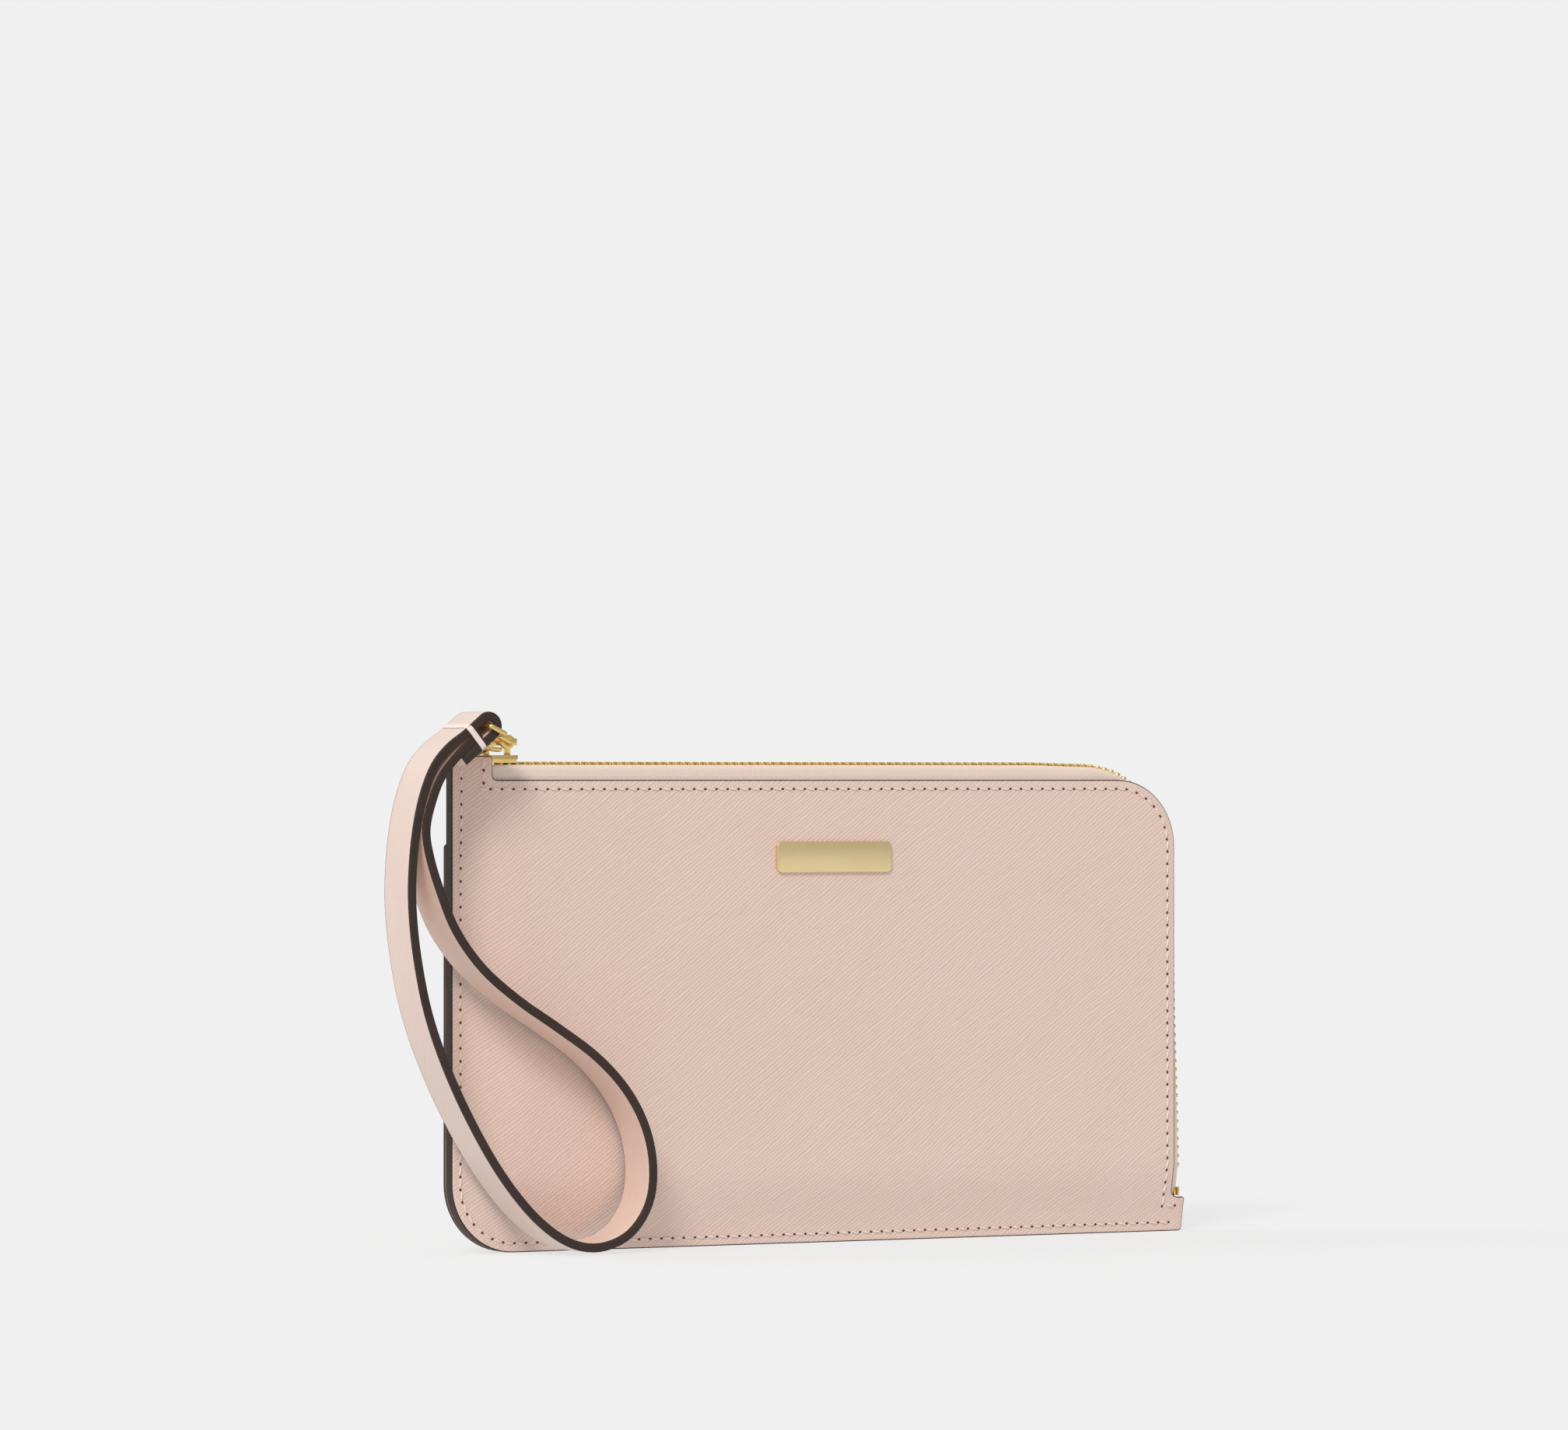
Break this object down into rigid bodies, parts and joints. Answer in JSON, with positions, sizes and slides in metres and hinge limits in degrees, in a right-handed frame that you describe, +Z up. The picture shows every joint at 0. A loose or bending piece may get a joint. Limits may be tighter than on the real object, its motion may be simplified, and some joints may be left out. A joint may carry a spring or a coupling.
{
  "type": "wristlet wallet",
  "caption": "Flat leather wristlet wallet with an L-shaped metal zip, a flat back pocket, a plain plate and a wrist strap on a clasp.",
  "frame": {"origin": "middle of the bottom edge, on the surface it rests on, in the middle plane of the zip", "axes": "+X along the width towards the zip's closed bottom end, +Y out of the back, +Z up"},
  "size_m": [0.2386, 0.0295, 0.137],
  "materials": {
    "leather": "crosshatch embossed, satin",
    "board": "fibre board",
    "lining": "plain woven lining",
    "card_leather": "thin smooth leather",
    "zip_tape": "woven tape",
    "zip_metal": "pale gold plated teeth",
    "gold_metal": "pale gold plated, polished",
    "spring_steel": "plain",
    "strap_leather": "crosshatch embossed, satin",
    "strap_lining": "crosshatch embossed, satin",
    "keeper": "pale, smooth"
  },
  "bodies": {
    "wallet_body": {"front_panel": "leather", "front_board": "board", "front_lining": "lining", "back_panel": "leather", "back_board": "board", "back_lining": "lining", "back_pocket_panel": "leather", "back_pocket_lining": "lining", "card_slot_1": "card_leather", "card_slot_2": "card_leather", "card_slot_3": "card_leather", "zip_tape_front": "zip_tape", "zip_tape_back": "zip_tape", "zip_teeth_front": "zip_metal", "zip_teeth_back": "zip_metal", "zip_top_stops": "zip_metal", "zip_bottom_stop": "zip_metal", "emblem_plate": "gold_metal", "emblem_washers": "gold_metal"},
    "slider": {"slider_body": "gold_metal", "slider_bridge": "gold_metal"},
    "puller": {"puller": "gold_metal"},
    "link": {"link_ring": "gold_metal"},
    "clasp": {"clasp_body": "gold_metal", "trigger_pin": "spring_steel", "trigger_spring": "spring_steel"},
    "trigger": {"clasp_trigger": "gold_metal"},
    "ring": {"strap_ring": "gold_metal"},
    "strap": {"strap_outer_ply": "strap_leather", "strap_inner_ply": "strap_lining", "strap_keeper": "keeper"}
  },
  "joints": [
    {"name": "slider_travel", "type": "slide", "parent": "wallet_body", "child": "slider", "axis": [1, 0, 0], "range_m": [0, 0.16], "deforming": ["zip_teeth_front", "zip_teeth_back"]},
    {"name": "puller_swing", "type": "hinge", "parent": "slider", "child": "puller", "pos_m": [-0.095, 0, 0.1276], "axis": [0, 1, 0], "range_deg": [0, 110]},
    {"name": "link_swing", "type": "hinge", "parent": "puller", "child": "link", "pos_m": [-0.10094, -0.00175, 0.12843], "axis": [-1, 0, 0], "range_deg": [0, 75]},
    {"name": "clasp_swing", "type": "hinge", "parent": "link", "child": "clasp", "pos_m": [-0.10094, -0.00664, 0.12948], "axis": [-1, 0, 0], "range_deg": [0, 40]},
    {"name": "trigger_press", "type": "hinge", "parent": "clasp", "child": "trigger", "pos_m": [-0.0986, -0.0111, 0.12948], "axis": [0, 0, 1], "range_deg": [0, 12], "stiffness_Nm_per_rad": 0.002, "springref_deg": -5.73, "deforming": ["trigger_spring"]},
    {"name": "ring_swing", "type": "hinge", "parent": "clasp", "child": "ring", "pos_m": [-0.0994, -0.01465, 0.12948], "axis": [0, 1, 0], "range_deg": [0, 40]},
    {"name": "strap_swing", "type": "hinge", "parent": "ring", "child": "strap", "pos_m": [-0.1075, -0.0138, 0.1334], "axis": [0, 1, 0], "range_deg": [0, 100]}
  ]
}
